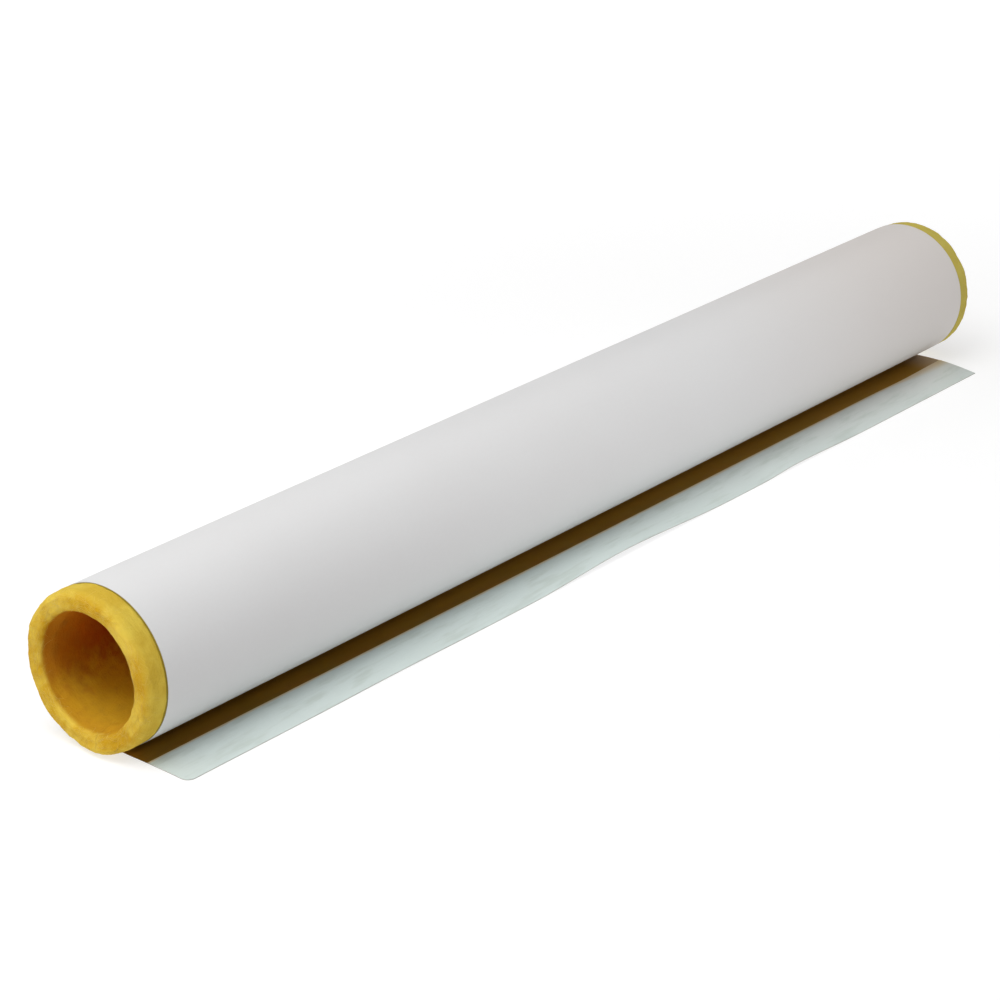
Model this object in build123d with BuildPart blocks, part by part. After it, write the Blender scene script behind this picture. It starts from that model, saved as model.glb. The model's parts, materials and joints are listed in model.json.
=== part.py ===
"""A section of preformed fibreglass pipe insulation with a self-sealing jacket, lying with its lap opened out.

The bore runs along X and the origin is on its axis, half way along. The section lies on the plane below it:
the jacket's lowest line touches the floor there, and the lap runs out flat along the floor towards -Y.
All lengths are in millimetres.
"""

import os
from math import acos, asin, cos, degrees, radians, sin

from build123d import *

# Fibreglass tube: a section for pipe of 73 mm (2 1/2 in nominal), with a wall of about half an inch
section_length = 914.4
bore_diameter = 73.8
wall_thickness = 14.5
near_lip_radius = 6.0
far_lip_radius = 2.0
bore_lip_radius = 3.5
slit_gap = 0.8

# Jacket: a paper laminate that stops short of the tube at both ends
jacket_thickness = 0.3
near_setback = 17.0
far_setback = 10.3
free_edge_clearance = 0.5

# Lap: the same sheet, opened out; it sits a little nearer to the near end than the rest of the jacket
lap_width = 73.0
lap_near_setback = 11.2
lap_far_setback = 16.2
lap_corner_radius = 6.0

# Release liner: a strip that covers the adhesive along the lap's outer edge
liner_width = 36.0
liner_thickness = 0.15

# How far a cut runs past the faces that it opens
cut_overrun = 2.0

# The wall limits how far its end edges can be rounded
outer_lip_limit_share = 0.5
bore_lip_limit_share = 0.4

# Radii and places that follow from the sizes above
bore_radius = bore_diameter / 2
tube_radius = bore_radius + wall_thickness
jacket_radius = tube_radius + jacket_thickness
jacket_start = -section_length / 2 + near_setback
jacket_length = section_length - near_setback - far_setback
lap_start = -section_length / 2 + lap_near_setback
lap_length = section_length - lap_near_setback - lap_far_setback
near_lip = min(near_lip_radius, wall_thickness * outer_lip_limit_share)
far_lip = min(far_lip_radius, wall_thickness * outer_lip_limit_share)
bore_lip = min(bore_lip_radius, wall_thickness * bore_lip_limit_share)

# Angles in the cross-section run from +Y towards +Z, so the lowest line is at -90 degrees.
# The jacket's free edge is where the rising wall first clears the lap, on the lap's side of the lowest line.
lowest_line = -90.0
free_edge_rise = jacket_thickness + free_edge_clearance
free_edge_angle = degrees(acos(1 - free_edge_rise / jacket_radius))
wrap_angle = 360.0 - free_edge_angle
slit_angle = lowest_line - free_edge_angle + degrees(asin(slit_gap / 2 / tube_radius))

# The wall's section with softened ends, turned about the bore, then slit from end to end.
# The near end's outer edge is worn to a broad round, and the far end's is still tight.
with BuildPart() as fiberglass_tube:
    with BuildSketch(Plane.XZ):
        with Locations((0, bore_radius + wall_thickness / 2)):
            Rectangle(section_length, wall_thickness)
        fillet(vertices().group_by(Axis.Y)[-1].sort_by(Axis.X)[0], radius=near_lip)
        fillet(vertices().group_by(Axis.Y)[-1].sort_by(Axis.X)[-1], radius=far_lip)
        fillet(vertices().group_by(Axis.Y)[0], radius=bore_lip)
    revolve(axis=Axis.X)
    slit_direction = (0, cos(radians(slit_angle)), sin(radians(slit_angle)))
    slit_plane = Plane(origin=(0, 0, 0), x_dir=(1, 0, 0), z_dir=Vector(1, 0, 0).cross(Vector(slit_direction)))
    with BuildSketch(slit_plane):
        with Locations((0, bore_radius + wall_thickness / 2)):
            Rectangle(section_length + 2 * cut_overrun, wall_thickness + 2 * cut_overrun)
    extrude(amount=slit_gap / 2, both=True, mode=Mode.SUBTRACT)

# One sheet: round the tube from its free edge to the lowest line, where the lap leaves it flat along the floor
with BuildPart() as jacket:
    with BuildSketch(Plane.YZ.offset(jacket_start)):
        with BuildLine():
            outside = CenterArc((0, 0), jacket_radius, lowest_line, wrap_angle)
            inside = CenterArc((0, 0), tube_radius, lowest_line, wrap_angle)
            Line(outside @ 0, inside @ 0)
            Line(outside @ 1, inside @ 1)
        make_face()
    extrude(amount=jacket_length)
    with BuildSketch(Plane.XY.offset(-jacket_radius)):
        with Locations((lap_start, 0)):
            Rectangle(lap_length, lap_width, align=(Align.MIN, Align.MAX))
        fillet(vertices().group_by(Axis.Y)[0].sort_by(Axis.X)[0], radius=lap_corner_radius)
    extrude(amount=jacket_thickness)

# The strip lies on the lap's inner face, flush with the lap's edge and rounded at the same corner
with BuildPart() as release_liner:
    with BuildSketch(Plane.XY.offset(-tube_radius)):
        with Locations((lap_start, -lap_width)):
            Rectangle(lap_length, liner_width, align=(Align.MIN, Align.MIN))
        fillet(vertices().group_by(Axis.Y)[0].sort_by(Axis.X)[0], radius=lap_corner_radius)
    extrude(amount=liner_thickness)

os.makedirs("parts", exist_ok=True)
for name, piece in {
    "fiberglass_tube": fiberglass_tube,
    "jacket": jacket,
    "release_liner": release_liner,
}.items():
    piece.part.label = name
    export_step(piece.part, f"parts/{name}.step")
    size = piece.part.bounding_box().size
    print(f"{name}: {size.X:.1f} x {size.Y:.1f} x {size.Z:.1f} mm, {piece.part.volume:.0f} mm3")
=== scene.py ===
# %% [markdown]
# # A section of fibreglass pipe insulation, with its lap opened out
#
# On a building site this is a tube of yellow glass wool that is slipped over a pipe through a slit along
# its length. A white paper jacket is glued round it. One side of the jacket is left loose as a lap: its
# inner face is dark brown, and a pale release liner covers the adhesive along its edge.
#
# The CAD model has all the sizes. This lesson keeps them and adds what CAD leaves plain: soft, uneven wool
# with loose fibres, paper that lies a little unevenly, and the finish of each surface.

# %% Load the frame
import json
import math
import random

import bmesh
import bpy
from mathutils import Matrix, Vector
from mathutils.bvhtree import BVHTree


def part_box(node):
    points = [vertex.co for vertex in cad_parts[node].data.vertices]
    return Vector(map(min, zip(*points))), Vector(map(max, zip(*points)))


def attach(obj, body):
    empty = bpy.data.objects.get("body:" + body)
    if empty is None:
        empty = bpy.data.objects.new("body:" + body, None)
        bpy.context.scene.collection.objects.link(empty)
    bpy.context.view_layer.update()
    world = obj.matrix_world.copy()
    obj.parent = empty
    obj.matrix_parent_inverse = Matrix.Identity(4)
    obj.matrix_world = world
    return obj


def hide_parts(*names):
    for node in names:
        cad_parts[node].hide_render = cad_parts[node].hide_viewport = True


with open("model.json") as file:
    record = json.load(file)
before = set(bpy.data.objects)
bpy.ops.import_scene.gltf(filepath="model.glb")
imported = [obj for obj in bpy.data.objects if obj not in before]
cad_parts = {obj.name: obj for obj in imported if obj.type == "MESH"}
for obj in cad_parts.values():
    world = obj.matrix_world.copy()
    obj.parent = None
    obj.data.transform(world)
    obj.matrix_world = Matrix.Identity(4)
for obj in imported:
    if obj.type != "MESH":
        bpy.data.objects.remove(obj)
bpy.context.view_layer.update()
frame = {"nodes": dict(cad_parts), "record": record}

# %% [markdown]
# ## Sizes
#
# A length typed in twice goes wrong sooner or later, so each one is read from the frame: a node's box, or
# the mount that says how wide the bore is. Only what CAD has no word for is a number here. `touch` is how
# close two places have to be to count as one.

# %% Read the sizes from the frame
MM = 0.001
touch = 0.01 * MM
tube_low, tube_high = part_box("fiberglass_tube")
jacket_low, jacket_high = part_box("jacket")
liner_low, liner_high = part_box("release_liner")
mounts = {mount["name"]: mount for mount in frame["record"]["mounts"]}

bore_radius = mounts["pipe_bore"]["dims"]["r_mm"] * MM
tube_radius = -liner_low.z
jacket_radius = -jacket_low.z
wall = tube_radius - bore_radius
paper = jacket_radius - tube_radius
liner_paper = liner_high.z - liner_low.z
floor_height = jacket_low.z
near_end, far_end = tube_low.x, tube_high.x
lap_edge, liner_border = liner_low.y, liner_high.y

jacket_corners = frame["nodes"]["jacket"].data.vertices
wrap_start = min(corner.co.x for corner in jacket_corners if corner.co.z > 0)
wrap_stop = jacket_high.x

free_edge_clearance = 0.5 * MM
free_edge_angle = math.acos(1 - (paper + free_edge_clearance) / jacket_radius)
print("radius of bore, tube and jacket:", bore_radius, tube_radius, jacket_radius)
print("jacket from", wrap_start, "to", wrap_stop)

# %% [markdown]
# ## Tools for modelling in code
#
# By hand you would tab into edit mode, click on what you want and use a tool on it. In code the click is a
# test on each vertex's place, so `pick` takes a small function that says yes or no. The CAD nodes come in
# selected, and an operator acts on all that is selected, so everything is let go of first.

# %% Take a piece, edit it, pick by place
def clear_selection():
    """Go back to object mode with nothing selected."""
    if bpy.context.object and bpy.context.object.mode != "OBJECT":
        bpy.ops.object.mode_set(mode="OBJECT")
    bpy.ops.object.select_all(action="DESELECT")


def take(piece):
    """Make one piece the only selected and active object."""
    clear_selection()
    piece.select_set(True)
    bpy.context.view_layer.objects.active = piece


def edit(piece):
    """Take a piece into edit mode, in vertex select mode with all of it selected."""
    take(piece)
    bpy.ops.object.mode_set(mode="EDIT")
    bpy.ops.mesh.select_mode(type="VERT")
    bpy.ops.mesh.select_all(action="SELECT")


def pick(piece, test):
    """In edit mode, select the vertices whose place passes the test."""
    bpy.ops.mesh.select_all(action="DESELECT")
    mesh = bmesh.from_edit_mesh(piece.data)
    for vertex in mesh.verts:
        vertex.select = test(vertex.co)
    mesh.select_flush_mode()
    bmesh.update_edit_mesh(piece.data)


clear_selection()
print("objects still selected:", len(bpy.context.selected_objects))

# %% [markdown]
# ## The glass wool tube
#
# The wool is moulded to shape on a mandrel and cut off, so its ends are soft and uneven while its bore is
# true. A cylinder with a boolean hole would give sharp ends and long thin triangles. Here the wall's section
# is drawn once, as a plane below the bore with its corners beveled round, and only its outline is kept. The
# near end is worn to a broad round, and the far end's outer edge is still tight.

# %% Draw the wall's section below the bore
near_lip, far_lip, bore_lip = 6.0 * MM, 2.0 * MM, 3.5 * MM
middle_of_wall = -bore_radius - wall / 2

clear_selection()
bpy.ops.mesh.primitive_plane_add(
    size=1,
    calc_uvs=False,
    location=(0, 0, middle_of_wall),
    rotation=(math.pi / 2, 0, 0),
)
wool = bpy.context.object
wool.name = "glass_wool_tube"
wool.scale = (far_end - near_end, wall, 1)
bpy.ops.object.transform_apply(location=True, rotation=True, scale=True)

edit(wool)
for lip, segments, chosen in (
    (near_lip, 9, lambda place: place.z < middle_of_wall and place.x < 0),
    (far_lip, 6, lambda place: place.z < middle_of_wall and place.x > 0),
    (bore_lip, 6, lambda place: place.z > middle_of_wall),
):
    pick(wool, chosen)
    bpy.ops.mesh.bevel(offset=lip, segments=segments, affect="VERTICES")
bpy.ops.mesh.select_all(action="SELECT")
bpy.ops.mesh.delete(type="ONLY_FACE")
print("points in the section's outline:", len(bmesh.from_edit_mesh(wool.data).verts))

# %% [markdown]
# ### Cut the outline where the wool shows
#
# Lumps and tufts can only move vertices that are there. The cuts are close together at the bare ends and grow
# further apart towards the middle, where no one sees the wool. A few more follow the jacket's two edges,
# which press into the wool.

# %% Cut the outline across
first_cut, cut_growth = 1.3 * MM, 1.085
end_face_cuts = 6
edge_cuts = (-2.2 * MM, -1.3 * MM, -0.7 * MM, -0.1 * MM, 0.6 * MM)
ALONG_X, ALONG_Y = Vector((1, 0, 0)), Vector((0, 1, 0))


def cut(places, axis):
    """In edit mode, cut straight across at each place along an axis."""
    for place in places:
        bpy.ops.mesh.select_all(action="SELECT")
        bpy.ops.mesh.bisect(plane_co=axis * place, plane_no=axis)


cuts = [wrap_start + offset for offset in edge_cuts] + [wrap_stop - offset for offset in edge_cuts]
place, step = near_lip + first_cut, first_cut
while place < far_end:
    for x in (near_end + place, far_end - place):
        if min(abs(x - other) for other in cuts) > step / 2:
            cuts.append(x)
    step *= cut_growth
    place += step
cut(sorted(cuts), ALONG_X)
for end in (near_end, far_end):
    pick(wool, lambda place: abs(place.x - end) < touch)
    bpy.ops.mesh.subdivide(number_cuts=end_face_cuts)
bpy.ops.object.mode_set(mode="OBJECT")
print("points in the cut outline:", len(wool.data.vertices))

# %% [markdown]
# ### Spin it round the bore
#
# Spin sweeps the outline round the bore's axis, as a lathe would. It starts at the slit and stops a hair
# short of a full turn, which leaves the slit open from end to end. Filling the two open outlines makes the
# slit's faces.

# %% Turn the section to the slit and spin it
slit_gap = 0.2 * MM
spin_steps = 300
slit_turn = free_edge_angle - slit_gap / jacket_radius

wool.rotation_euler.x = -slit_turn
take(wool)
bpy.ops.object.transform_apply(rotation=True)
edit(wool)
full_turn = math.tau - slit_gap / tube_radius
bpy.ops.mesh.spin(steps=spin_steps, angle=full_turn, center=(0, 0, 0), axis=(1, 0, 0))
bpy.ops.mesh.select_all(action="SELECT")
bpy.ops.mesh.fill_holes(sides=0)
bpy.ops.mesh.select_all(action="SELECT")
bpy.ops.mesh.normals_make_consistent(inside=False)
bpy.ops.object.mode_set(mode="OBJECT")
print("faces in the tube:", len(wool.data.polygons))

# %% [markdown]
# ### Where the wool is free to move
#
# The wool is glued to the jacket and was moulded against the mandrel in its bore, so only its cut ends are
# really loose. A vertex group says how far each vertex may be pushed: not at all under the jacket, less in
# the bore, and fully at the ends.

# %% Say how freely each part of the wool may move
bore_freedom, mouth_depth = 0.8, 14 * MM
skin, jacket_margin = 0.5 * MM, 1 * MM


def rim(place):
    """How far a place is from the bore's axis."""
    return math.hypot(place.y, place.z)


def freedom(place):
    """How freely the wool at a place may be pushed: 0 is under the jacket, 1 is a bare end."""
    depth = min(place.x - near_end, far_end - place.x)
    by_jacket = wrap_start - jacket_margin < place.x < wrap_stop + jacket_margin
    if by_jacket and rim(place) > tube_radius - skin:
        return 0.0
    if rim(place) < bore_radius + skin:
        return 1 - (1 - bore_freedom) * min(depth / mouth_depth, 1)
    return 1.0


bare_wool = wool.vertex_groups.new(name="bare_wool")
for vertex in wool.data.vertices:
    bare_wool.add([vertex.index], freedom(vertex.co), "REPLACE")
print("vertices held by the jacket:", sum(freedom(vertex.co) == 0 for vertex in wool.data.vertices))

# %% [markdown]
# ### Lumps, tufts and strands
#
# The cut end of glass wool has lumps as wide as a finger, with tufts on them. Sculpting would give them too,
# but a brush stroke can't be written down in code. Three Displace modifiers with cloud textures of different
# sizes push the surface in and out instead.

# %% Push the wool in and out
def apply_modifier(piece, kind, **settings):
    """Add a modifier to a piece with these settings, and apply it."""
    take(piece)
    modifier = piece.modifiers.new(kind.title(), kind)
    for name, value in settings.items():
        setattr(modifier, name, value)
    bpy.ops.object.modifier_apply(modifier=modifier.name)


def cloud(name, size, depth=1):
    """A cloud texture whose blobs are about this size."""
    texture = bpy.data.textures.new(name, type="CLOUDS")
    texture.noise_scale = size
    texture.noise_depth = depth
    return texture


for name, size, strength in (
    ("wool_lumps", 16 * MM, 1.5 * MM),
    ("wool_tufts", 6 * MM, 0.8 * MM),
    ("wool_strands", 2.2 * MM, 0.3 * MM),
):
    apply_modifier(
        wool,
        "DISPLACE",
        texture=cloud(name, size, depth=2),
        texture_coords="LOCAL",
        strength=strength,
        mid_level=0.5,
        vertex_group="bare_wool",
    )
    print(name, "leave the near end at", min(vertex.co.x for vertex in wool.data.vertices))

# %% [markdown]
# ### Draw the wool in under the jacket
#
# The glued paper holds the wool in, and each of its edges presses a shallow groove into it. Both are rings of
# vertices that are picked by their place and scaled across the tube, about its axis.

# %% Scale the glued wool and the two grooves
glue_gap, glued_skin, glued_margin = 0.06 * MM, 1.5 * MM, 0.5 * MM
groove_depth, groove_skin = 0.7 * MM, 2 * MM
groove_start, groove_stop = 0.4 * MM, 1.0 * MM


def resize_section(old, new, centre=(0, 0, 0), **settings):
    """In edit mode, scale what is picked across the tube, as an old radius goes to a new one."""
    bpy.ops.transform.resize(value=(1, new / old, new / old), center_override=centre, **settings)


edit(wool)
pick(
    wool,
    lambda place: rim(place) > tube_radius - glued_skin
    and wrap_start - glued_margin < place.x < wrap_stop + glued_margin,
)
resize_section(tube_radius, tube_radius - glue_gap)
for edge, outward in ((wrap_start, -1), (wrap_stop, 1)):
    pick(
        wool,
        lambda place: rim(place) > tube_radius - groove_skin
        and groove_start < outward * (place.x - edge) < groove_stop,
    )
    resize_section(tube_radius, tube_radius - groove_depth)
    print("vertices in a groove:", wool.data.count_selected_items()[0])

# %% [markdown]
# ### Pinch the slit
#
# Where the slit comes out at an end, its two edges lean into it and leave a small notch. A move with
# proportional editing draws the wool along the slit inwards, and the wool beside it less and less.

# %% Pinch the wool at both ends of the slit
pinch_depth, pinch_reach = 0.7 * MM, 3.0 * MM
pinch_length, pinch_width, pinch_from = 4 * MM, 0.6 * MM, 2 * MM


def soft(reach):
    """Settings that let a transform fade out over a reach round what is picked."""
    return {
        "use_proportional_edit": True,
        "proportional_edit_falloff": "SMOOTH",
        "proportional_size": reach,
    }


edit(wool)
for end, inward in ((near_end, 1), (far_end, -1)):
    pick(
        wool,
        lambda place: abs(place.x - end) < pinch_length
        and abs(math.atan2(-place.y, -place.z) - slit_turn) < pinch_width / tube_radius
        and rim(place) > bore_radius + pinch_from,
    )
    bpy.ops.transform.translate(value=(inward * pinch_depth, 0, 0), **soft(pinch_reach))
    print("vertices pinched:", wool.data.count_selected_items()[0])

# %% [markdown]
# ### Wear the near end
#
# The near end isn't square any more: its bottom is pushed out on the lap's side, and the mouth of its bore is
# worn wider. These are the same two tools again, a move along the tube and a scale across it, both soft.

# %% Push the bottom out and widen the mouth
end_depth = 5 * MM
bulge, bulge_reach = 2.6 * MM, 24 * MM
bulge_height, bulge_side = 4 * MM, -10 * MM
mouth_flare, flare_reach, mouth_lip = 1.6 * MM, 10 * MM, 4.5 * MM

edit(wool)
pick(
    wool,
    lambda place: place.x < near_end + end_depth
    and place.z < -tube_radius + bulge_height
    and place.y < bulge_side,
)
bpy.ops.transform.translate(value=(-bulge, 0, 0), **soft(bulge_reach))
print("vertices pushed out:", wool.data.count_selected_items()[0])
pick(wool, lambda place: place.x < near_end + end_depth and rim(place) < bore_radius + mouth_lip)
resize_section(bore_radius, bore_radius + mouth_flare, **soft(flare_reach))
print("vertices in the worn mouth:", wool.data.count_selected_items()[0])

# %% [markdown]
# ### Round the far rim and rest the wool on the floor
#
# At the far end only a thin rim of wool shows past the jacket. It is a little smaller than the jacket, and
# the outer half of its face swells out. Last, no vertex may stay below the floor.

# %% Shrink and swell the far rim
far_shrink, far_gap = 0.25 * MM, 1.0 * MM
far_bulge, far_reach, far_depth = 2.5 * MM, 8 * MM, 1.5 * MM

edit(wool)
pick(wool, lambda place: place.x > wrap_stop + far_gap and rim(place) > bore_radius + wall / 2)
resize_section(tube_radius, tube_radius - far_shrink, centre=(0, 0, -tube_radius))
pick(wool, lambda place: place.x > far_end - far_depth and rim(place) > bore_radius + wall / 2)
bpy.ops.transform.translate(value=(far_bulge, 0, 0), **soft(far_reach))
bpy.ops.object.mode_set(mode="OBJECT")
for vertex in wool.data.vertices:
    vertex.co.z = max(vertex.co.z, floor_height)
bpy.ops.object.shade_smooth()
wool.data.calc_loop_triangles()
print("triangles in the wool:", len(wool.data.loop_triangles))

# %% [markdown]
# ### Loose fibres at the cut ends
#
# A cut through glass wool leaves fine fibres lying across the end. Blender's hair would do for a picture, but
# the exported model keeps only meshes, so each fibre is going to be a thin tube. To creep over the wool it
# has to find the nearest place on it, which a BVH tree does quickly. A mesh's last digits and first corners
# change from run to run and could tip a fibre off a ridge, so the tree gets the wool on a fine grid, with its
# faces in order.

# %% Read the wool for the fibres
grid = 0.02 * MM


def from_lowest(corners):
    """A face's corners in the same order, starting from the lowest number."""
    first = corners.index(min(corners))
    return corners[first:] + corners[:first]


wool_places = [Vector([round(part / grid) * grid for part in vertex.co]) for vertex in wool.data.vertices]
wool_faces = sorted(from_lowest(tuple(face.vertices)) for face in wool.data.polygons)
wool_surface = BVHTree.FromPolygons(wool_places, wool_faces)
print("faces to creep over:", len(wool_faces))

# %% [markdown]
# ### The fibres' paths
#
# Each fibre starts at a random place on an end and wanders, mostly round the bore, with a slight rise. A
# seeded random generator gives the same fibres on each run.

# %% Lead the fibres over the wool
fibre_seed, fibres_per_end = 11, 700
fibre_radius, fibre_points = 0.045 * MM, 6
shortest_mm, longest_mm = 5, 15
rest_mm, rise_mm = 0.03, 0.35
scatter, wander = 0.75, 0.22
cast_from, overhang = 3 * MM, 0.5 * MM
chance = random.Random(fibre_seed)


def stray(amount):
    """A random vector of about this length."""
    return Vector([chance.gauss(0, amount) for _ in range(3)])


def fibre_path(end, outward):
    """The points of one fibre, on the wool's end face, its outer lip or the mouth of its bore."""
    angle = chance.uniform(0, math.tau)
    radius = chance.uniform(bore_radius - overhang, tube_radius + overhang)
    start = Vector((end + outward * cast_from, radius * math.cos(angle), radius * math.sin(angle)))
    place, normal, _, _ = wool_surface.find_nearest(start)
    around = Vector((0, -math.sin(angle), math.cos(angle)))
    heading = around * chance.choice((-1, 1)) + stray(scatter)
    step = chance.uniform(shortest_mm, longest_mm) * MM / fibre_points
    path = []
    for point in range(fibre_points):
        rise = (rest_mm + rise_mm * chance.random() * point / fibre_points) * MM
        point_above = place + normal * rise
        point_above.z = max(point_above.z, floor_height + fibre_radius)
        path.append(point_above)
        heading = heading + stray(wander)
        heading = (heading - normal * heading.dot(normal)).normalized()
        place, normal, _, _ = wool_surface.find_nearest(place + heading * step)
    return path


paths = [
    fibre_path(end, outward)
    for end, outward in ((near_end, -1), (far_end, 1))
    for _ in range(fibres_per_end)
]
print("fibres:", len(paths))

# %% [markdown]
# ### From paths to tubes
#
# Each path becomes a three-sided tube that runs to a point at both ends. One operator call for each fibre
# would take long, so the corners and faces are collected in two lists, and all the fibres are one mesh.

# %% Build the fibres
fibre_sides = 3
corners, faces = [], []


def add_tube(path):
    """Add the corners and faces of one thin tube along a path."""
    first, rings = len(corners), len(path) - 2
    last = first + 1 + fibre_sides * rings
    corners.append(path[0])
    for before, here, after in zip(path, path[1:], path[2:]):
        forward = (after - before).normalized()
        side = forward.orthogonal().normalized()
        up = forward.cross(side)
        for corner in range(fibre_sides):
            turn = math.tau * corner / fibre_sides
            corners.append(here + fibre_radius * (side * math.cos(turn) + up * math.sin(turn)))
    corners.append(path[-1])
    for corner in range(fibre_sides):
        following = (corner + 1) % fibre_sides
        faces.append((first, first + 1 + following, first + 1 + corner))
        for ring in range(rings - 1):
            low = first + 1 + fibre_sides * ring
            high = low + fibre_sides
            faces.append((low + corner, low + following, high + following, high + corner))
        faces.append((last - fibre_sides + corner, last - fibre_sides + following, last))


for path in paths:
    add_tube(path)
fibre_mesh = bpy.data.meshes.new("loose_fibres")
fibre_mesh.from_pydata(corners, [], faces)
fibres = bpy.data.objects.new("loose_fibres", fibre_mesh)
bpy.context.scene.collection.objects.link(fibres)
edit(fibres)
bpy.ops.mesh.normals_make_consistent(inside=False)
bpy.ops.object.mode_set(mode="OBJECT")
bpy.ops.object.shade_smooth()
print("faces in the fibres:", len(faces))

# %% [markdown]
# ## The jacket
#
# The real jacket is one sheet of laminate. It goes round the tube, and its side that isn't glued is the lap.
# So the model is one sheet too, and it gets its thickness only at the end, when all its bends are in. The
# lap comes first: a plane on the floor, with its near corner rounded, cut into strips that can bend.

# %% Lay the lap out and cut it into strips
lap_corner, corner_segments = 6.0 * MM, 8
strip_length, strip_width = 7.0 * MM, 2.4 * MM


def even_cuts(start, stop, step):
    """Places that divide a length into equal steps of about this size, without its two ends."""
    count = max(round(abs(stop - start) / step), 1)
    return [start + (stop - start) * index / count for index in range(1, count)]


lap_cuts = [
    *even_cuts(lap_edge, liner_border, strip_width),
    liner_border,
    *even_cuts(liner_border, 0, strip_width),
]


def flat_sheet(name, edge, border, height):
    """A flat sheet from one y to another, as long as the jacket, with its near outer corner rounded."""
    clear_selection()
    middle = ((wrap_start + wrap_stop) / 2, (edge + border) / 2, height)
    bpy.ops.mesh.primitive_plane_add(size=1, calc_uvs=False, location=middle)
    sheet = bpy.context.object
    sheet.name = name
    sheet.scale = (wrap_stop - wrap_start, border - edge, 1)
    bpy.ops.object.transform_apply(location=True, rotation=True, scale=True)
    edit(sheet)
    pick(sheet, lambda place: place.x < 0 and place.y < (edge + border) / 2)
    bpy.ops.mesh.bevel(offset=lap_corner, segments=corner_segments, affect="VERTICES")
    cut(even_cuts(wrap_start, wrap_stop, strip_length), ALONG_X)
    cut([place for place in lap_cuts if edge < place < border], ALONG_Y)
    bpy.ops.object.mode_set(mode="OBJECT")
    return sheet


jacket = flat_sheet("paper_jacket", lap_edge, 0, -tube_radius)
print("faces in the flat lap:", len(jacket.data.polygons))

# %% [markdown]
# ### Wrap the sheet round the tube
#
# The lap's inner edge lies right under the bore's axis. Spun about that axis, it sweeps out the glued part of
# the sheet, all the way round to the slit. The doubles are merged, and the faces are turned so that the lap's
# inner side looks up, because Solidify follows them later.

# %% Spin the lap's root edge round the tube
wrap_steps = 120

edit(jacket)
pick(jacket, lambda place: abs(place.y) < touch)
bpy.ops.mesh.spin(steps=wrap_steps, angle=free_edge_angle - math.tau, center=(0, 0, 0), axis=(1, 0, 0))
bpy.ops.mesh.select_all(action="SELECT")
bpy.ops.mesh.remove_doubles(threshold=touch)
bpy.ops.mesh.normals_make_consistent(inside=True)
bpy.ops.object.mode_set(mode="OBJECT")


def on_lap(place):
    """Whether a place of the sheet is on the flat lap."""
    return place.y < touch and abs(place.z + tube_radius) < 2 * touch


lap_faces = [face for face in jacket.data.polygons if on_lap(face.center)]
if lap_faces[0].normal.z < 0:
    jacket.data.flip_normals()
print("faces in the sheet:", len(jacket.data.polygons), "lap faces up:", lap_faces[0].normal.z > 0)

# %% [markdown]
# ### Give the sheet its own coordinates
#
# Paper has a grain that bends with it. A UV map in metres, with the length as U and the way round the tube as
# V, lets a pattern follow the sheet from the lap up and over the tube. Blender's unwrap would scale the map
# to fit a square, so the map is written from the places themselves.

# %% Unroll the sheet into a UV map
def girth(place):
    """How far a place of the sheet is from the lap's root, going round the tube; negative on the lap."""
    if on_lap(place):
        return place.y
    return (math.atan2(place.y, -place.z) % math.tau) * tube_radius


sheet_map = jacket.data.uv_layers.new(name="sheet")
for loop in jacket.data.loops:
    place = jacket.data.vertices[loop.vertex_index].co
    sheet_map.data[loop.index].uv = (place.x, girth(place))
rows = [corner.uv.y for corner in sheet_map.data]
print("sheet across in mm:", round((max(rows) - min(rows)) / MM, 1))

# %% [markdown]
# ### Let the glued paper swell a little
#
# Under the paper is wool, so the jacket isn't a perfect cylinder. One broad cloud pushes it out by a fraction
# of a millimetre. A vertex group fades that out at both ends and towards the floor, and a second group marks
# the lap, for the bends that come after.

# %% Swell the glued part of the sheet
jacket_swell, swell_size = 0.2 * MM, 110 * MM
hug_length = 30 * MM

wrap_group = jacket.vertex_groups.new(name="wrap")
lap_group = jacket.vertex_groups.new(name="lap")
for vertex in jacket.data.vertices:
    place = vertex.co
    if on_lap(place):
        lap_group.add([vertex.index], 1, "REPLACE")
        continue
    from_end = min(place.x - wrap_start, wrap_stop - place.x)
    above_floor = (place.z + tube_radius) / tube_radius
    wrap_group.add([vertex.index], min(from_end / hug_length, above_floor, 1), "REPLACE")
apply_modifier(
    jacket,
    "DISPLACE",
    texture=cloud("paper_swell", swell_size),
    texture_coords="LOCAL",
    strength=-jacket_swell,
    mid_level=0,
    vertex_group="wrap",
)
print("top of the jacket in mm:", round(max(vertex.co.z for vertex in jacket.data.vertices) / MM, 2))

# %% [markdown]
# ## The release liner
#
# The liner is a strip of slick paper on the lap's outer half, with the same edge and the same rounded corner.
# It is made like the lap, with its cuts at the same places, so that both bend alike when the lap is settled.

# %% Lay the liner on the lap
liner_lift = 0.05 * MM

liner = flat_sheet("liner_strip", lap_edge, liner_border, -tube_radius + liner_lift)
liner_map = liner.data.uv_layers.new(name="sheet")
for loop in liner.data.loops:
    place = liner.data.vertices[loop.vertex_index].co
    liner_map.data[loop.index].uv = (place.x, place.y)
print("faces in the liner:", len(liner.data.polygons))

# %% [markdown]
# ### How the lap lies
#
# Paper that has been on a roll doesn't lie dead flat. The lap is skewed towards the near end, its outer edge
# curls off the floor in three places, and it arches a little at the far end. One function says all that for
# any place of the lap.

# %% Say how far the lap moves at a place
root_slip_near, root_slip_far, root_slip_reach = 4.3 * MM, 5.6 * MM, 16 * MM
skew_near, skew_far = 3.2 * MM, 6.0 * MM
narrow_near, widen_far = 0.9 * MM, 2.0 * MM
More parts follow.
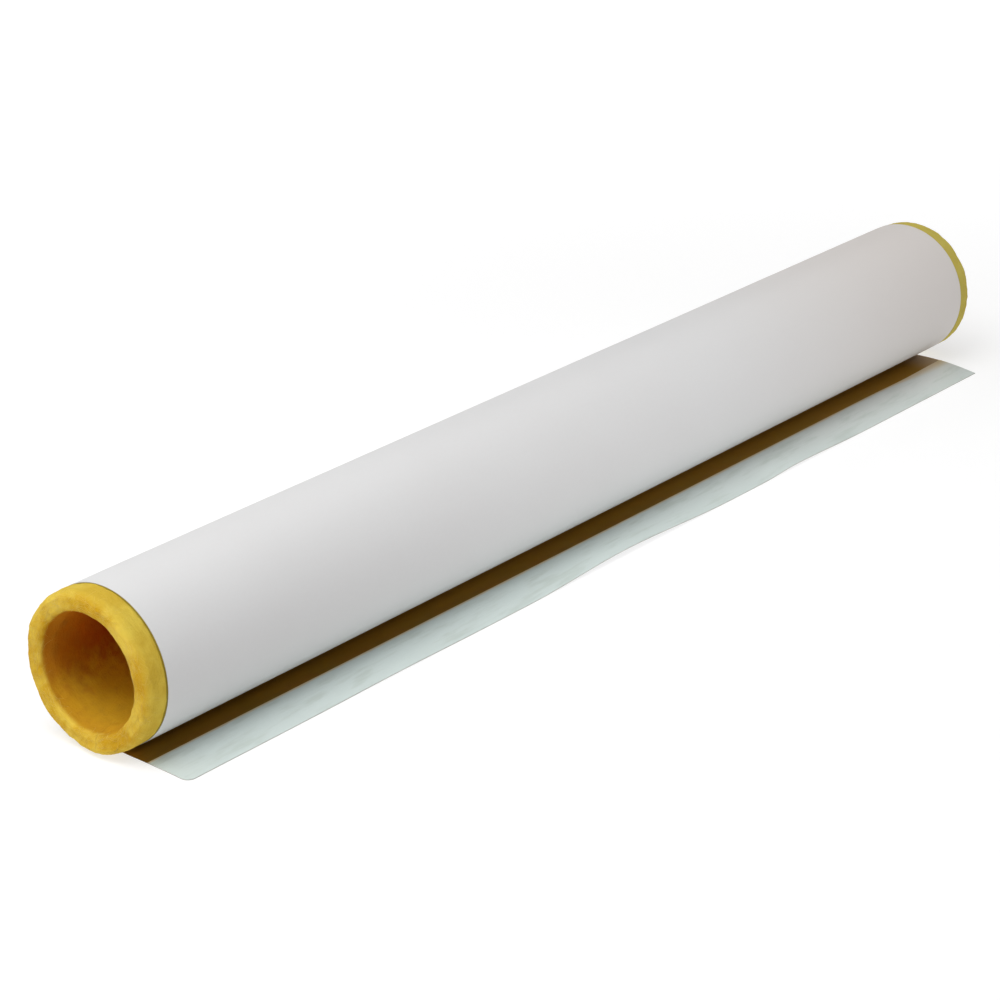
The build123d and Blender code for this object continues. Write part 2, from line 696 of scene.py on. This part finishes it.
# Each curl of the outer edge: how far from the near end, how long on its two sides, how high
edge_curls = (
    (446 * MM, 66 * MM, 78 * MM, 4.0 * MM),
    (651 * MM, 22 * MM, 60 * MM, 1.9 * MM),
    (205 * MM, 50 * MM, 60 * MM, 0.6 * MM),
)
curl_root, curl_spread = 0.5, 1.6
far_arch, far_arch_length = 1.8 * MM, 60 * MM
border_slip, border_slip_length = 1.9 * MM, 110 * MM


def ease(share):
    """Go smoothly from 0 to 1 as a share does."""
    share = min(max(share, 0), 1)
    return share * share * (3 - 2 * share)


def settle(x, y):
    """How far the lap moves at a place, in x, y and z."""
    out = y / lap_edge
    along = (x - wrap_start) / (wrap_stop - wrap_start)
    middle_of_lap = math.sin(math.pi * min(max(out, 0), 1))
    slip = ease(-y / root_slip_reach) * (root_slip_near + (root_slip_far - root_slip_near) * along)
    skew = out * out * (skew_near + (skew_far - skew_near) * along)
    spread = out * (widen_far * along - narrow_near * (1 - along))
    spread += border_slip * ease(1 - (wrap_stop - x) / border_slip_length) * middle_of_lap
    lift = 0
    for middle, before, after, height in edge_curls:
        offset = x - near_end - middle
        reach = curl_spread * (before if offset < 0 else after)
        lift += height * ease(1 - abs(offset) / reach) * ease((out - curl_root) / (1 - curl_root))
    lift += far_arch * ease(1 - (wrap_stop - x) / far_arch_length) * middle_of_lap
    return Vector((-slip - skew, -spread, lift))


print("the lap's far corner moves by", settle(wrap_stop, lap_edge))

# %% [markdown]
# ### Settle the lap in a cage
#
# Moving each sheet by itself could let the liner sink into the lap. A lattice is a cage of points: move the
# points, and everything in the cage follows, so the lap and the liner bend together.

# %% Build the cage, move its points and bend both sheets
cage_along, cage_across = 91, 13

clear_selection()
bpy.ops.object.add(type="LATTICE", location=((wrap_start + wrap_stop) / 2, lap_edge / 2, -tube_radius))
cage = bpy.context.object
cage.scale = (wrap_stop - wrap_start, -lap_edge, 1)
cage.data.points_u, cage.data.points_v, cage.data.points_w = cage_along, cage_across, 1
bpy.context.view_layer.update()
for point in cage.data.points:
    place = cage.matrix_world @ point.co
    move = settle(place.x, place.y)
    point.co_deform = point.co + Vector((move.x / cage.scale.x, move.y / cage.scale.y, move.z))

apply_modifier(jacket, "LATTICE", object=cage, vertex_group="lap")
apply_modifier(liner, "LATTICE", object=cage)
bpy.data.objects.remove(cage)
highest = max(vertex.co.z for vertex in liner.data.vertices) + tube_radius
print("highest curl of the liner in mm:", round(highest / MM, 1))

# %% [markdown]
# ## Writing materials as sums
#
# A finish is mostly arithmetic on a few patterns, and a tree of Math nodes is hard to read. `Signal` wraps
# one socket, so that `1 - a * b` adds the nodes for us.

# %% Signal: a socket that can be reckoned with
def both_ways(operation):
    """Two methods that add a Math node: one for signal and value, and one for value and signal."""

    def forward(self, other):
        return self.finish.math(operation, self, other)

    def reflected(self, other):
        return self.finish.math(operation, other, self)

    return forward, reflected


class Signal:
    """One output socket; arithmetic on it adds Math nodes to its finish."""

    def __init__(self, finish, socket):
        self.finish = finish
        self.socket = socket

    __add__, __radd__ = both_ways("ADD")
    __sub__, __rsub__ = both_ways("SUBTRACT")
    __mul__, __rmul__ = both_ways("MULTIPLY")
    __truediv__, __rtruediv__ = both_ways("DIVIDE")
    __pow__, __rpow__ = both_ways("POWER")

    def __abs__(self):
        return self.finish.math("ABSOLUTE", self)


print("a Signal knows", [name for name in vars(Signal) if name.startswith("__r")])

# %% [markdown]
# `Finish` is one material. Its `node` adds any node: the settings first, then the values or links of the
# sockets. The other methods are short names for the nodes that these finishes use most.

# %% Finish: a material and the nodes that feed it
class Finish:
    """A procedural material: one Principled shader and the nodes that feed it."""

    def __init__(self, name, **constants):
        self.material = bpy.data.materials.new(name)
        self.material.use_nodes = True
        self.tree = self.material.node_tree
        self.shader = self.tree.nodes["Principled BSDF"]
        for socket, value in constants.items():
            self.shader.inputs[socket.replace("_", " ").title()].default_value = value

    def node(self, kind, settings=None, sockets=None, output=0):
        """Add a node: its settings first, then the values or links of its sockets."""
        made = self.tree.nodes.new(kind)
        for name, value in (settings or {}).items():
            setattr(made, name, value)
        for name, value in (sockets or {}).items():
            self.set(made.inputs[name], value)
        return Signal(self, made.outputs[output])

    def set(self, socket, value):
        """Link a signal to a socket, or give the socket a value."""
        if isinstance(value, Signal):
            self.tree.links.new(value.socket, socket)
        else:
            socket.default_value = value

    def feed(self, socket, signal):
        """Link a signal to one of the shader's own sockets."""
        self.set(self.shader.inputs[socket], signal)

    def shine(self, level):
        """Say how strongly the surface mirrors light."""
        self.shader.inputs["Specular IOR Level"].default_value = level

    def math(self, operation, *values):
        """A Math node."""
        return self.node("ShaderNodeMath", {"operation": operation}, dict(enumerate(values)))

    def place(self, source="Object"):
        """Coordinates in metres: the object's, or the sheet's own as UV."""
        return self.node("ShaderNodeTexCoord", output=source)

    def axes(self, vector):
        """The three parts of a vector."""
        x = self.node("ShaderNodeSeparateXYZ", sockets={"Vector": vector})
        return [Signal(self, socket) for socket in x.socket.node.outputs]

    def vector(self, x, y, z):
        """A vector from its three parts."""
        return self.node("ShaderNodeCombineXYZ", sockets={"X": x, "Y": y, "Z": z})

    def noise(self, vector, size, detail=3.0, roughness=0.55):
        """A cloudy pattern from 0 to 1, whose blobs are about this size in metres."""
        sockets = {"Vector": vector, "Scale": 1 / size, "Detail": detail, "Roughness": roughness}
        return self.node("ShaderNodeTexNoise", sockets=sockets)

    def mix(self, amount, first, second):
        """A colour between two colours."""
        sockets = {
            0: amount,
            6: first if isinstance(first, Signal) else (*first, 1),
            7: second if isinstance(second, Signal) else (*second, 1),
        }
        return self.node("ShaderNodeMix", {"data_type": "RGBA"}, sockets, output=2)

    def between(self, signal, low, high):
        """Go smoothly from 0 at one value of a signal to 1 at another."""
        sockets = {"Value": signal, "From Min": low, "From Max": high}
        return self.node("ShaderNodeMapRange", {"interpolation_type": "SMOOTHSTEP"}, sockets)

    def bump(self, height, distance, strength=1.0):
        """Feed a height from 0 to 1 to the shader's normal."""
        sockets = {"Height": height, "Distance": distance, "Strength": strength}
        self.feed("Normal", self.node("ShaderNodeBump", sockets=sockets))


print("a Finish knows", [name for name in vars(Finish) if not name.startswith("_")])

# %% [markdown]
# ## The wool's finish
#
# Glass wool gets its yellow from the binder that holds it. Some tufts hold more of it than others, so the cut
# end is mottled. The fibres lie in layers round the bore, with others across them. Noise on plain object
# coordinates gives the mottle. For the strands the coordinates are the way round the bore and the distance
# from it, and the noise is stretched along one of them. It joins at the bottom, by the slit.

# %% Mottle, tufts and strands
wool_finish = Finish("yellow_glass_wool", roughness=1.0)
wool_finish.shine(0.08)
place = wool_finish.place()
x, y, z = wool_finish.axes(place)
radius = (y * y + z * z) ** 0.5
around = wool_finish.math("ARCTAN2", y, z) * tube_radius
layers = wool_finish.vector(x, around * 0.16, radius)
crossing = wool_finish.vector(x, around * 0.7 + radius * 0.7, (radius - around) * 0.12)

mottle = wool_finish.noise(place, 22 * MM, detail=2.0)
tufts = wool_finish.noise(place, 7 * MM, detail=4.0)
felt = wool_finish.noise(place, 0.7 * MM, detail=4.0, roughness=0.75)
strands = wool_finish.noise(layers, 1.3 * MM, detail=4.0, roughness=0.65)
cross_strands = wool_finish.noise(crossing, 1.0 * MM, detail=4.0, roughness=0.7)
wool_finish.bump(strands * 0.55 + cross_strands * 0.5 + felt * 0.4 + tufts * 0.6, 1.0 * MM, 0.75)
print("nodes for the wool's patterns:", len(wool_finish.tree.nodes))

# %% [markdown]
# ### Yellow on the cut ends
#
# The colour starts as a mix of gold and straw, and each pattern then tints it a little: darker strands, paler
# strands across them, pale tufts, and a lemon tone towards the outer edge. Shaders reckon with light, so
# `srgb` turns a colour as it looks on a screen into that.

# %% Tint the wool's yellow
def srgb(red, green, blue):
    """A colour given as it looks on a screen, as the light that it stands for."""
    return tuple(
        part / 12.92 if part <= 0.04045 else ((part + 0.055) / 1.055) ** 2.4
        for part in (red / 255, green / 255, blue / 255)
    )


gold, straw, lemon = srgb(204, 157, 30), srgb(230, 199, 78), srgb(212, 188, 78)
dark_strand, pale_strand, pale_tuft = srgb(184, 134, 26), srgb(238, 212, 104), srgb(224, 197, 104)
lip_width = 5 * MM

pale = wool_finish.between(mottle * 0.65 + tufts * 0.35, 0.39, 0.63)
colour = wool_finish.mix(pale, gold, straw)
colour = wool_finish.mix(wool_finish.between(strands, 0.35, 0.75) * 0.26, colour, dark_strand)
colour = wool_finish.mix(wool_finish.between(cross_strands, 0.5, 0.75) * 0.3, colour, pale_strand)
colour = wool_finish.mix(wool_finish.between(tufts, 0.62, 0.8) * 0.25, colour, pale_tuft)
outer_lip = wool_finish.between(radius, tube_radius - lip_width, tube_radius)
colour = wool_finish.mix(outer_lip * 0.5, colour, lemon)
print("nodes with the yellow:", len(wool_finish.tree.nodes))

# %% [markdown]
# ### Amber in the bore
#
# The bore was against a hot mandrel, which browned the binder, so it is amber. Redder and darker up its wall
# and further in is painted shade, and a brighter gold on its floor further in is painted light. Masks made
# from the distance to the axis, the depth from an end and the height say where.

# %% Brown the bore
floor_amber, painted_shade_wall_amber, blot_amber = srgb(222, 174, 40), srgb(194, 108, 8), srgb(150, 88, 8)
mouth_amber, painted_shade_deep_amber, painted_light_deep_gold = srgb(176, 114, 16), srgb(198, 78, 6), srgb(250, 202, 40)

from_end = wool_finish.math("MINIMUM", x - near_end, far_end - x)
in_bore = 1 - wool_finish.between(radius, bore_radius + 2.0 * MM, bore_radius + 3.6 * MM)
in_bore = in_bore * wool_finish.between(from_end, 0.8 * MM, 5 * MM)
uneven_height = z + (tufts - 0.5) * 30 * MM
up_the_wall = wool_finish.between(uneven_height, -0.9 * bore_radius, -0.05 * bore_radius)
blots = wool_finish.between(mottle * 0.5 + tufts * 0.5, 0.45, 0.7)
at_mouth = 1 - wool_finish.between(from_end, 5 * MM, 22 * MM)
deep = wool_finish.between(from_end, 18 * MM, 55 * MM)

# painted shade: the wall turns darker and redder with height, on top of the mandrel's real amber
amber = wool_finish.mix(up_the_wall, floor_amber, painted_shade_wall_amber)
amber = wool_finish.mix(blots * 0.35, amber, blot_amber)
amber = wool_finish.mix(at_mouth * 0.5, amber, mouth_amber)
# painted shade deeper in up the wall, and painted light on the floor further in
amber = wool_finish.mix(deep * up_the_wall * 0.8, amber, painted_shade_deep_amber)
amber = wool_finish.mix(deep * (1 - up_the_wall) * 0.8, amber, painted_light_deep_gold)
colour = wool_finish.mix(in_bore * 0.9, colour, amber)
print("nodes with the amber:", len(wool_finish.tree.nodes))

# %% [markdown]
# ### The wool beside the paper, and the loose fibres
#
# The far rim is greyer than the near end, and along the jacket's edges the wool is painted dark: painted
# shade of the groove that each edge presses in. The loose fibres are paler than the wool, because a single
# fibre holds hardly any binder.

# %% Grey the rims and colour the fibres
grey_rim, groove_painted_shade = srgb(190, 180, 96), srgb(110, 96, 34)
pale_fibre, bright_fibre = srgb(220, 188, 78), srgb(238, 216, 132)

far_rim = wool_finish.between(x, wrap_stop - 2 * MM, wrap_stop + 2 * MM) * outer_lip
colour = wool_finish.mix(far_rim * 0.7, colour, grey_rim)
near_edge = wool_finish.between(x, wrap_start - 1.6 * MM, wrap_start - 0.6 * MM)
far_edge = 1 - wool_finish.between(x, wrap_stop + 0.6 * MM, wrap_stop + 1.6 * MM)
on_outside = wool_finish.between(radius, tube_radius - 3 * MM, tube_radius - 1.6 * MM)
# painted shade: a thin dark band on the wool beside each edge of the jacket, where the groove's shade falls
colour = wool_finish.mix(near_edge * far_edge * on_outside * 0.7, colour, groove_painted_shade)
wool_finish.feed("Base Color", colour)

fibre_finish = Finish("loose_glass_fibre", roughness=0.8)
fibre_finish.shine(0.15)
shade = fibre_finish.noise(fibre_finish.place(), 9 * MM)
fibre_finish.feed("Base Color", fibre_finish.mix(shade, pale_fibre, bright_fibre))
print("nodes in the wool and fibres:", len(wool_finish.tree.nodes), len(fibre_finish.tree.nodes))

# %% [markdown]
# ## The jacket's white outside
#
# The outside is matt white paper over a net of glass threads, which shows as a very faint grid, and it is a
# little warmer towards the far end. An image could give the grid, but a repeated distance does it in three
# nodes and stays sharp. All of it follows the sheet's own UV map.

# %% White paper
cool_white, bright_white, warm_white = srgb(216, 215, 215), srgb(223, 223, 223), srgb(218, 211, 206)
thread_pitch, thread_lean = 12.0 * MM, 0.02
paper_aged_from = 100 * MM

white_paper = Finish("white_jacket_paper")
sheet = white_paper.place("UV")
u, v, _ = white_paper.axes(sheet)
clouds = white_paper.noise(sheet, 90 * MM, detail=2.0)
pulp = white_paper.noise(sheet, 2.5 * MM, detail=4.0)
colour = white_paper.mix(clouds * 0.6 + pulp * 0.4, cool_white, bright_white)
aged = white_paper.between(u, paper_aged_from, far_end)
white_paper.feed("Base Color", white_paper.mix(aged * 0.8, colour, warm_white))
white_paper.feed("Roughness", 0.66 + pulp * 0.12)

threads = []
for direction in (u + v * thread_lean, v):
    from_thread = abs(white_paper.math("FRACT", direction / thread_pitch) - 0.5)
    threads.append(white_paper.between(from_thread, 0.44, 0.5))
net = white_paper.math("MAXIMUM", *threads)
white_paper.bump(net * 0.45 + pulp * 0.35 + clouds * 0.4, 0.05 * MM, 0.6)
print("nodes in the white paper:", len(white_paper.tree.nodes))

# %% [markdown]
# ## The jacket's brown inside
#
# The inner face is dark brown and dull, with a grain along the sheet. It is painted lighter beside the tube,
# as painted light against the shade under the tube, lighter along its far half, and paler at the far end. The
# grain is noise with its U squeezed, so that it runs long.
# The cut edge of the paper is plain grey pulp.

# %% Brown face and cut edge
brown, olive_brown, grain_brown = srgb(128, 86, 14), srgb(120, 88, 16), srgb(140, 102, 28)
painted_light_brown, far_brown, pale_far_brown = srgb(180, 130, 32), srgb(166, 122, 36), srgb(184, 162, 136)
far_half_from = -50 * MM

brown_face = Finish("brown_inner_face")
brown_face.shine(0.12)
sheet = brown_face.place("UV")
u, v, _ = brown_face.axes(sheet)
grain = brown_face.noise(brown_face.vector(u * 0.25, v, 0.0), 3 * MM, detail=4.0)
blots = brown_face.noise(sheet, 40 * MM, detail=2.0)
painted_light_by_tube = brown_face.between(v, liner_border, 0.55 * liner_border)
far_half = brown_face.between(u, far_half_from, far_end)
pale_far_end = brown_face.between(u, wrap_stop - 30 * MM, wrap_stop - 2 * MM)

colour = brown_face.mix(brown_face.between(blots, 0.35, 0.65), brown, olive_brown)
colour = brown_face.mix(brown_face.between(grain, 0.4, 0.7) * 0.3, colour, grain_brown)
# painted light: the brown is lightened beside the tube, where the tube's shade falls
colour = brown_face.mix(painted_light_by_tube * 0.75, colour, painted_light_brown)
colour = brown_face.mix(far_half * 0.5, colour, far_brown)
brown_face.feed("Base Color", brown_face.mix(pale_far_end * 0.85, colour, pale_far_brown))
brown_face.feed("Roughness", 0.42 + grain * 0.2)
brown_face.bump(grain, 0.04 * MM, 0.5)

paper_edge = Finish("cut_paper_edge", roughness=0.85)
pulp = paper_edge.noise(paper_edge.place(), 1.5 * MM)
paper_edge.feed("Base Color", paper_edge.mix(pulp, srgb(170, 168, 160), srgb(196, 194, 186)))
print("nodes in the brown face and the edge:", len(brown_face.tree.nodes), len(paper_edge.tree.nodes))

# %% [markdown]
# ## The liner's finish
#
# Release paper is slick and pale blue-green. It is greyer where the adhesive under it was pressed, in smudges
# that run aslant, and a line of old glue shows along its border with the brown, wider by the far end. A glue
# line with an even edge would look drawn, so the smudges push it to and fro.

# %% Release liner and its cut edge
sea_grey, sea_white, far_white = srgb(202, 216, 213), srgb(228, 238, 236), srgb(218, 221, 218)
outer_grey_for_painted_light, pressed_grey, old_glue = srgb(204, 215, 211), srgb(184, 196, 188), srgb(206, 178, 128)
liner_aged_from = -100 * MM

liner_face = Finish("release_liner_paper")
sheet = liner_face.place("UV")
u, v, _ = liner_face.axes(sheet)
smudges = liner_face.noise(liner_face.vector(u * 0.3 + v * 0.3, v - u * 0.25, 0.0), 16 * MM, detail=3.0)
streaks = liner_face.noise(liner_face.vector(u * 0.12 + v * 0.4, v - u * 0.08, 0.0), 5 * MM, detail=3.0)
pulp = liner_face.noise(sheet, 2.0 * MM, detail=3.0)
from_border = liner_border - v
aged = liner_face.between(u, liner_aged_from, far_end)
pressed = liner_face.between(smudges * 0.6 + streaks * 0.4, 0.47, 0.66)
by_far_end = liner_face.between(u, wrap_stop - 80 * MM, wrap_stop - 10 * MM)
uneven_border = from_border + (smudges - 0.5) * 3 * MM
glue_line = 1 - liner_face.between(uneven_border, 0.4 * MM, 2.6 * MM + by_far_end * 9 * MM)

colour = liner_face.mix(smudges * 0.7 + pulp * 0.3, sea_grey, sea_white)
colour = liner_face.mix(aged * 0.8, colour, far_white)
# painted light: the liner stays paler near its border with the brown, against the tube's shade there, and
# turns greyer towards its outer edge
colour = liner_face.mix(liner_face.between(from_border, 10 * MM, 36 * MM) * 0.6, colour, outer_grey_for_painted_light)
colour = liner_face.mix(pressed * 0.55, colour, pressed_grey)
liner_face.feed("Base Color", liner_face.mix(glue_line * 0.75, colour, old_glue))
liner_face.feed("Roughness", 0.34 + smudges * 0.16)
liner_face.bump(smudges * 0.6 + pulp * 0.2, 0.06 * MM, 0.5)

liner_edge = Finish("cut_liner_edge", roughness=0.6)
pulp = liner_edge.noise(liner_edge.place(), 1.5 * MM)
liner_edge.feed("Base Color", liner_edge.mix(pulp, srgb(150, 158, 156), srgb(178, 186, 184)))
print("nodes in the liner and its edge:", len(liner_face.tree.nodes), len(liner_edge.tree.nodes))

# %% [markdown]
# ## Dress the pieces
#
# Each piece gets its finishes and rides on the one body that the part has, and the CAD node that it stands
# for is hidden. A sheet's finishes are in the order that Solidify is told later: the face that it starts
# from, then for the jacket its outer face, and last the rim.

# %% Finishes, body and hidden nodes
for piece, finishes, node, slot in (
    (wool, [wool_finish], "fiberglass_tube", "fiberglass"),
    (fibres, [fibre_finish], None, "fiberglass"),
    (jacket, [brown_face, white_paper, paper_edge], "jacket", "jacket_paper"),
    (liner, [liner_face, liner_edge], "release_liner", "liner_paper"),
):
    for finish in finishes:
        piece.data.materials.append(finish.material)
    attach(piece, "root")
    if node:
        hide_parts(node)
    print(piece.name, "wears", [finish.material.name for finish in finishes])

# %% [markdown]
# ## Give both sheets their thickness
#
# The sheets are still thinner than any paper. Solidify adds the second face and the rim, with the finishes
# that their slots now hold. It comes after the finishes, because it can only point at slots that are there.

# %% Thicken the jacket and the liner
smooth_under = math.radians(35)

apply_modifier(jacket, "SOLIDIFY", thickness=paper, offset=-1, material_offset=1, material_offset_rim=2)
apply_modifier(liner, "SOLIDIFY", thickness=liner_paper, offset=1, material_offset_rim=1)
for piece in (jacket, liner):
    take(piece)
    bpy.ops.object.shade_smooth_by_angle(angle=smooth_under)
    piece.data.calc_loop_triangles()
    print(piece.name, "triangles:", len(piece.data.loop_triangles))

# %% [markdown]
# ## The studio floor
#
# The object lies on a white sweep that is lit from below, so the ground is pure white and lights the jacket's
# side. A plain white floor would turn grey where the lights fade. This one glows, a little less under the
# object, where a soft shadow should still show that it lies on something.

# %% Floor
floor_size, floor_drop = 14, 0.1 * MM
glow_from, glow_to = 0.4, 1.8
glow_near, glow_far = 0.66, 0.95

clear_selection()
bpy.ops.mesh.primitive_plane_add(size=floor_size, location=(0, 0, floor_height - floor_drop))
studio_floor = bpy.context.object
studio_floor.name = "studio_floor"
floor_finish = Finish("white_sweep", base_color=(0.35, 0.35, 0.35, 1), roughness=0.9, emission_strength=1.0)
x, y, _ = floor_finish.axes(floor_finish.place())
far_off = floor_finish.between((x * x + y * y) ** 0.5, glow_from, glow_to)
floor_finish.feed("Emission Color", floor_finish.mix(far_off, (glow_near,) * 3, (glow_far,) * 3))
studio_floor.data.materials.append(floor_finish.material)
print("the floor lies at", floor_height - floor_drop)

# %% [markdown]
# ## Lights
#
# A large soft light hangs over the near end, so the jacket is brightest there and falls off along its length.
# One behind fills the back, one faces the near end, and a small one lies low on the lap's side. Two very soft
# suns light all the length alike. The area lights are hidden from the camera.

# %% Area lights and suns
def hang(name, kind, energy, heading, place=(0, 0, 0)):
    """A light of a kind that shines along a heading from a place."""
    lamp = bpy.data.objects.new(name, bpy.data.lights.new(name, kind))
    lamp.data.energy = energy
    lamp.location = place
    lamp.rotation_euler = heading.to_track_quat("-Z", "Y").to_euler()
    bpy.context.scene.collection.objects.link(lamp)
    return lamp


# Each area light: its place, what it is aimed at, its width and height, its power, its spread in degrees
for name, place, target, size, power, spread in (
    ("near_overhead", (-0.9, 0, 1.6), (-0.3, 0, 0), (1.0, 1.0), 13.2, 180),
    ("back_side", (-0.2, 1.6, 1.5), (0, 0, 0), (1.2, 1.2), 11.0, 180),
    ("near_end", (-2.2, 0.2, 0.7), (near_end, 0, 0), (1.0, 1.0), 6.8, 180),
    ("low_side", (0.12, -1.1, 0.10), (0.1, 0, -0.02), (0.6, 0.2), 0.22, 50),
):
    lamp = hang(name, "AREA", power, Vector(target) - Vector(place), place)
    lamp.data.shape = "RECTANGLE"
    lamp.data.size, lamp.data.size_y = size
    lamp.data.spread = math.radians(spread)
    lamp.visible_camera = False

sun_softness = math.radians(50)
for name, heading, strength in (("ceiling", (0.45, 0, -1), 1.22), ("window", (0, 0.6, -1), 0.57)):
    hang(name, "SUN", strength, Vector(heading)).data.angle = sun_softness

# %% [markdown]
# ## The air
#
# Past the floor's edge the camera should see white too, but a white world would also light the object from
# all sides and flatten it. So the world's strength is 1 for the camera's own rays and 0 for all others.

# %% World and view
studio_air = bpy.data.worlds.new("studio_air")
studio_air.use_nodes = True
air = studio_air.node_tree
seen = air.nodes.new("ShaderNodeLightPath")
air.links.new(seen.outputs["Is Camera Ray"], air.nodes["Background"].inputs["Strength"])
air.nodes["Background"].inputs["Color"].default_value = (1, 1, 1, 1)
bpy.context.scene.world = studio_air
bpy.context.scene.view_settings.view_transform = "Standard"
print("world:", studio_air.name, "view:", bpy.context.scene.view_settings.view_transform)

# %% [markdown]
# ## The camera
#
# The view is from the near end, over the lap. Its place and lens came from fitting the section's known length
# and its ellipses to the picture's edges.

# %% Camera
look_down, look_across = 22.526, -51.382

camera_data = bpy.data.cameras.new("camera")
camera_data.lens, camera_data.sensor_width = 115.556, 36
camera_data.clip_start, camera_data.clip_end = 0.05, 50
camera = bpy.data.objects.new("camera", camera_data)
camera.location = (-1.6369, -1.2550, 0.8183)
camera.rotation_euler = (math.radians(90 - look_down), 0, math.radians(look_across))
bpy.context.scene.collection.objects.link(camera)
bpy.context.scene.camera = camera
print("camera at", tuple(camera.location), "lens", camera_data.lens)

# %% [markdown]
# ## The size
#
# Blender only dresses the part, so the dressed box has to agree with the CAD box.
